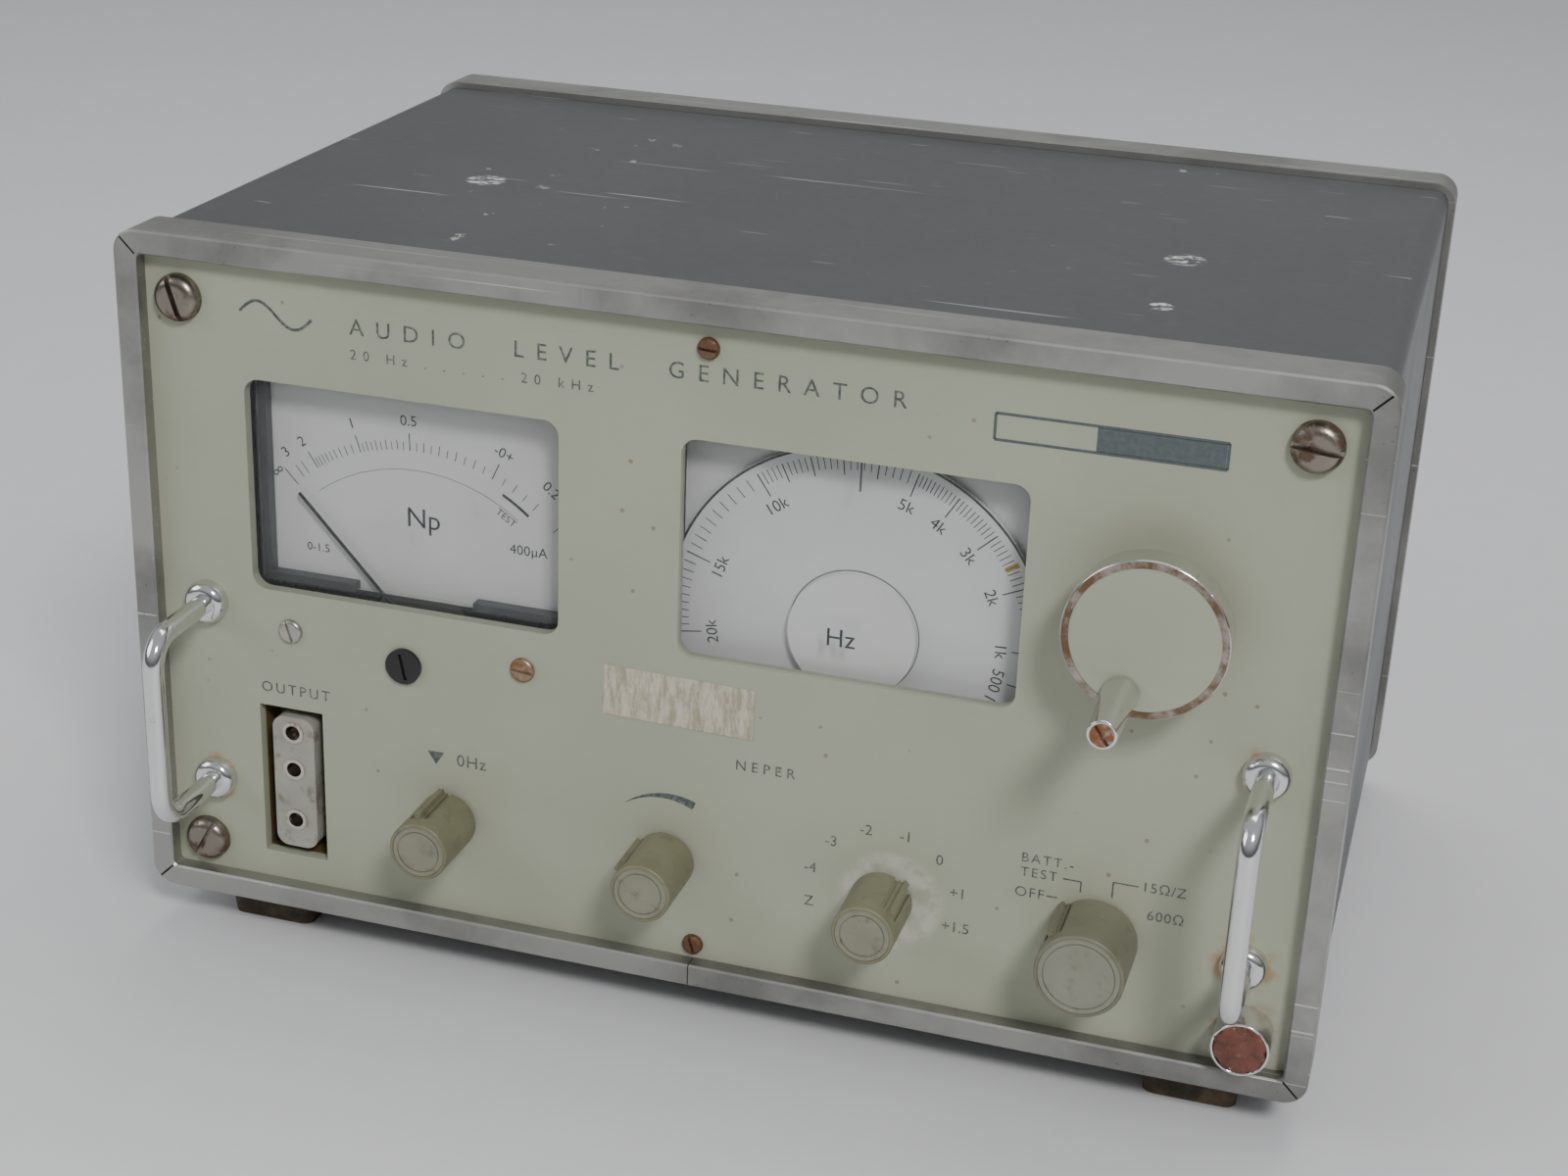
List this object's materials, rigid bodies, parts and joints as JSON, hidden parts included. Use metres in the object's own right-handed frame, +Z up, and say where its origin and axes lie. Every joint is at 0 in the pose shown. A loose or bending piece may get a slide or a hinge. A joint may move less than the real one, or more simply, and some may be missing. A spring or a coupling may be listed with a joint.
{
  "type": "audio level generator",
  "caption": "Battery-run audio level generator in a metal carrying case, with a level meter, a crank-tuned frequency dial, turning knobs, rod handles and a recessed output socket.",
  "frame": {"origin": "on the ground under the middle of the overall box, handles and crank grip included", "axes": "+X to the right as seen from the front, +Y from the front panel to the rear, +Z up"},
  "size_m": [0.305, 0.2396, 0.1905],
  "materials": {
    "worn_aluminium": "worn, scratched and pitted bare aluminium",
    "case_grey": "dark grey semi-gloss enamel with scratches",
    "panel_cream": "pale greenish grey enamel, lightly stained",
    "chrome": "chromed and lightly pitted",
    "rusty_steel": "steel with brown surface rust",
    "bright_steel": "plain steel",
    "knob_plastic": "olive grey moulded plastic",
    "knob_cap_plastic": "olive grey inset disc",
    "cream_plastic": "cream moulded disc",
    "clear_plastic": "clear acrylic",
    "black_plastic": "black moulded plastic",
    "scale_white": "printed white card",
    "dial_face": "painted dial with printed scale",
    "brass": "machined brass",
    "plain_aluminium": "machined aluminium",
    "rubber": "hard brown-black rubber",
    "wax": "red-brown sealing wax",
    "socket_plastic": "whitish moulded plastic",
    "brown_laminate": "brown phenolic",
    "nickel": "nickel-plated brass",
    "label_paper": "yellowed crepe paper tape",
    "board": "phenolic circuit board with fitted parts",
    "cell_card": "card-wrapped dry cells",
    "pot_metal": "stamped metal can",
    "needle_black": "black lacquered pointer"
  },
  "bodies": {
    "case": {"attenuator_switch": "brown_laminate", "batteries": "cell_card", "battery_box": "black_plastic", "capacitor_stator": "plain_aluminium", "case_sleeve": "case_grey", "chassis_rails": "plain_aluminium", "circuit_board": "board", "corner_screws": "rusty_steel", "dial_window": "clear_plastic", "feet": "rubber", "foot_screws": "bright_steel", "front_frame": "worn_aluminium", "front_panel": "panel_cream", "function_switch": "brown_laminate", "gear_plate": "plain_aluminium", "handle_ferrules": "chrome", "handles": "chrome", "level_potentiometer": "pot_metal", "meter_cover": "clear_plastic", "meter_housing": "black_plastic", "meter_movement": "bright_steel", "meter_scale_plate": "scale_white", "meter_screws": "bright_steel", "output_socket": "socket_plastic", "panel_screws": "bright_steel", "paper_label": "label_paper", "rear_frame": "worn_aluminium", "rear_panel": "case_grey", "rear_panel_screws": "rusty_steel", "seal_cup": "chrome", "seal_wax": "wax", "shaft_bushes": "brass", "socket_contacts": "nickel", "socket_housing": "brown_laminate", "zero_potentiometer": "pot_metal"},
    "zero_control": {"zero_knob": "knob_plastic", "zero_knob_cap": "knob_cap_plastic", "zero_shaft": "bright_steel"},
    "level_control": {"level_knob": "knob_plastic", "level_knob_cap": "knob_cap_plastic", "level_shaft": "bright_steel"},
    "attenuator_control": {"attenuator_knob": "knob_plastic", "attenuator_knob_cap": "knob_cap_plastic", "attenuator_shaft": "bright_steel"},
    "function_control": {"function_knob": "knob_plastic", "function_knob_cap": "knob_cap_plastic", "function_shaft": "bright_steel"},
    "dial": {"dial_disc": "dial_face", "dial_hub": "dial_face", "dial_shaft": "bright_steel", "dial_gear": "brass", "capacitor_rotor": "plain_aluminium"},
    "idler": {"idler_gear": "brass"},
    "crank": {"crank_rim": "chrome", "crank_inlay": "cream_plastic", "crank_shaft": "bright_steel", "grip_screw": "rusty_steel"},
    "grip": {"crank_grip": "chrome"},
    "needle": {"meter_needle": "needle_black"},
    "zero_screw": {"meter_zero_adjuster": "black_plastic"}
  },
  "joints": [
    {"name": "zero_turn", "type": "hinge", "parent": "case", "child": "zero_control", "pos_m": [-0.0686, -0.08085, 0.0441], "axis": [0, -1, 0], "range_deg": [-135, 135]},
    {"name": "level_turn", "type": "hinge", "parent": "case", "child": "level_control", "pos_m": [-0.01, -0.08085, 0.0441], "axis": [0, -1, 0], "range_deg": [-195, 75]},
    {"name": "attenuator_turn", "type": "hinge", "parent": "case", "child": "attenuator_control", "pos_m": [0.046, -0.08085, 0.0441], "axis": [0, -1, 0], "range_deg": [-60, 150]},
    {"name": "function_turn", "type": "hinge", "parent": "case", "child": "function_control", "pos_m": [0.0982, -0.08085, 0.0441], "axis": [0, -1, 0], "range_deg": [-90, 0]},
    {"name": "dial_turn", "type": "hinge", "parent": "case", "child": "dial", "pos_m": [0.0332, -0.08085, 0.1095], "axis": [0, -1, 0], "range_deg": [-98, 113]},
    {"name": "idler_turn", "type": "hinge", "parent": "case", "child": "idler", "pos_m": [0.0808, -0.08085, 0.11566], "axis": [0, -1, 0], "range_deg": [-565, 490]},
    {"name": "crank_turn", "type": "hinge", "parent": "case", "child": "crank", "pos_m": [0.1052, -0.08085, 0.1294], "axis": [0, -1, 0], "range_deg": [-1225, 1412.5]},
    {"name": "grip_spin", "type": "hinge", "parent": "crank", "child": "grip", "pos_m": [0.10101, -0.09745, 0.11604], "axis": [0, -1, 0], "continuous": true},
    {"name": "needle_swing", "type": "hinge", "parent": "case", "child": "needle", "pos_m": [-0.0801, -0.07345, 0.0905], "axis": [0, -1, 0], "range_deg": [-86, 0]},
    {"name": "adjuster_turn", "type": "hinge", "parent": "case", "child": "zero_screw", "pos_m": [-0.0801, -0.08085, 0.0852], "axis": [0, -1, 0], "range_deg": [-30, 30]}
  ],
  "couplings": [
    {"joint": "idler_turn", "follows": "dial_turn", "ratio": -5},
    {"joint": "crank_turn", "follows": "dial_turn", "ratio": 12.5}
  ]
}
